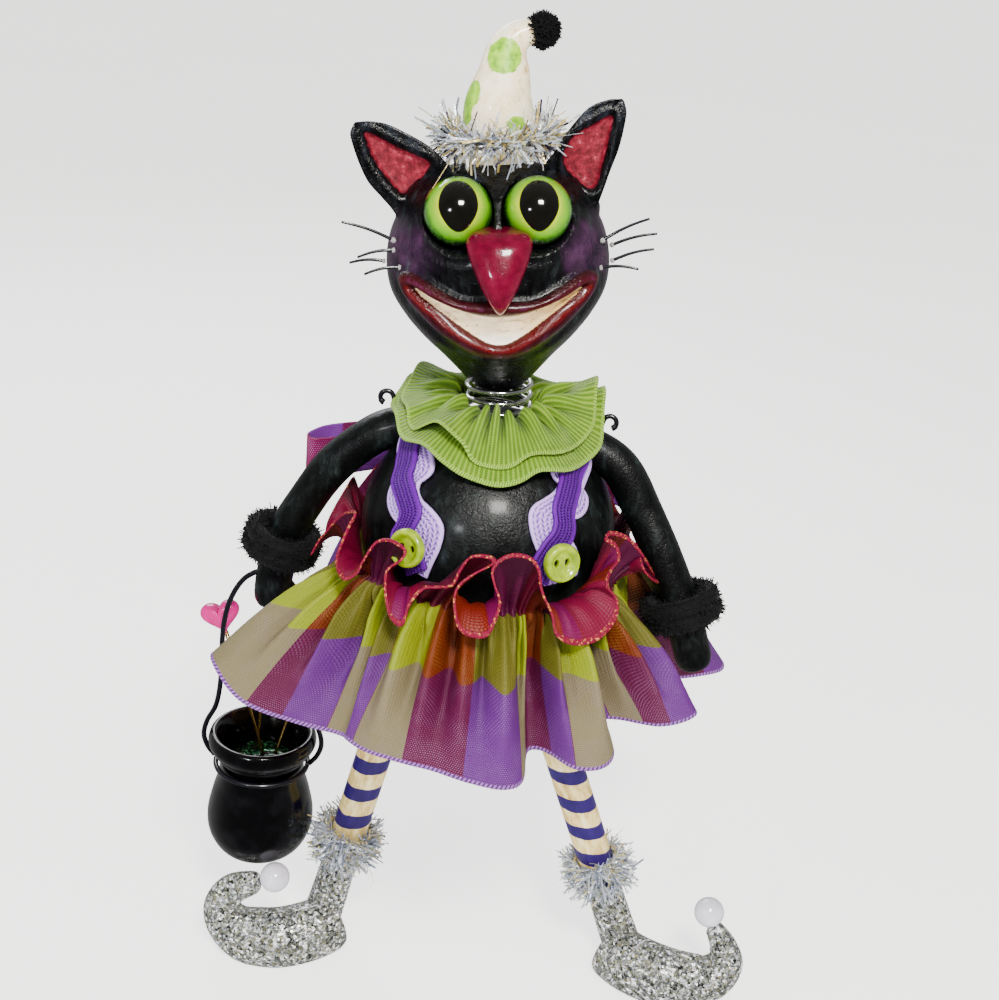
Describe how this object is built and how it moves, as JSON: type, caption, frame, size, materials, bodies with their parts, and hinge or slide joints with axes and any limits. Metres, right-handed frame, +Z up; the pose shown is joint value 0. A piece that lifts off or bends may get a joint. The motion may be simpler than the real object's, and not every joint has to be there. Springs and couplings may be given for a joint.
{
  "type": "cat art doll",
  "caption": "Standing cat art doll with a bobbing spring-necked head, party hat, gathered ribbon skirt and curled shoes, one hand holding a small cauldron.",
  "frame": {"origin": "middle of the underside of the whole doll's box, on the level of the shoe soles", "axes": "+Z up, the doll looks along -Y, +X to the viewer's right when seen from the front"},
  "size_m": [0.1446, 0.1064, 0.2368],
  "materials": {
    "black_clay": "satin black paint with brush marks",
    "lime_eye": "wet gloss over painted lime green",
    "cream_clay": "satin cream with lime dabs",
    "black_fluff": "cut black pile",
    "tinsel": "silver metallised film strands",
    "whisker_wire": "stiff dark bristle",
    "bright_steel": "bright spring wire",
    "green_ribbon": "ribbed green ribbon",
    "chenille": "black chenille pile",
    "black_wire": "gloss black coated wire",
    "lavender_braid": "woven zigzag braid",
    "purple_braid": "woven zigzag braid",
    "lime_button": "glossy moulded button",
    "plaid_ribbon": "sheer woven plaid ribbon with metallic edges",
    "striped_wood": "painted dowel, cream with purple bands",
    "silver_glitter": "silver glitter in clear gloss",
    "white_bead": "pearl white gloss",
    "black_glaze": "high gloss black",
    "green_brew": "green glitter in clear gloss",
    "gold_pin": "bright gold-coloured wire",
    "pink_heart": "glossy hot pink"
  },
  "bodies": {
    "root": {"body": "black_clay", "bow": "plaid_ribbon", "cauldron": "black_glaze", "cauldron_bail": "black_wire", "cauldron_brew": "green_brew", "collar_lower": "green_ribbon", "collar_upper": "green_ribbon", "hat": "cream_clay", "hat_pompom": "black_fluff", "hat_tinsel": "tinsel", "head": "black_clay", "heart_left": "pink_heart", "heart_middle": "pink_heart", "heart_right": "pink_heart", "left_ankle_tinsel": "tinsel", "left_arm": "black_clay", "left_brace_lavender": "lavender_braid", "left_brace_purple": "purple_braid", "left_button": "lime_button", "left_cuff": "chenille", "left_eye": "lime_eye", "left_leg": "striped_wood", "left_shoe": "silver_glitter", "left_shoe_bead": "white_bead", "left_shoulder_wire": "black_wire", "left_whisker_1": "whisker_wire", "left_whisker_2": "whisker_wire", "left_whisker_3": "whisker_wire", "left_whisker_4": "whisker_wire", "neck_spring": "bright_steel", "pin_left": "gold_pin", "pin_middle": "gold_pin", "pin_right": "gold_pin", "right_ankle_tinsel": "tinsel", "right_arm": "black_clay", "right_brace_lavender": "lavender_braid", "right_brace_purple": "purple_braid", "right_button": "lime_button", "right_cuff": "chenille", "right_eye": "lime_eye", "right_leg": "striped_wood", "right_shoe": "silver_glitter", "right_shoe_bead": "white_bead", "right_shoulder_wire": "black_wire", "right_whisker_1": "whisker_wire", "right_whisker_2": "whisker_wire", "right_whisker_3": "whisker_wire", "right_whisker_4": "whisker_wire", "skirt": "plaid_ribbon"}
  },
  "joints": []
}
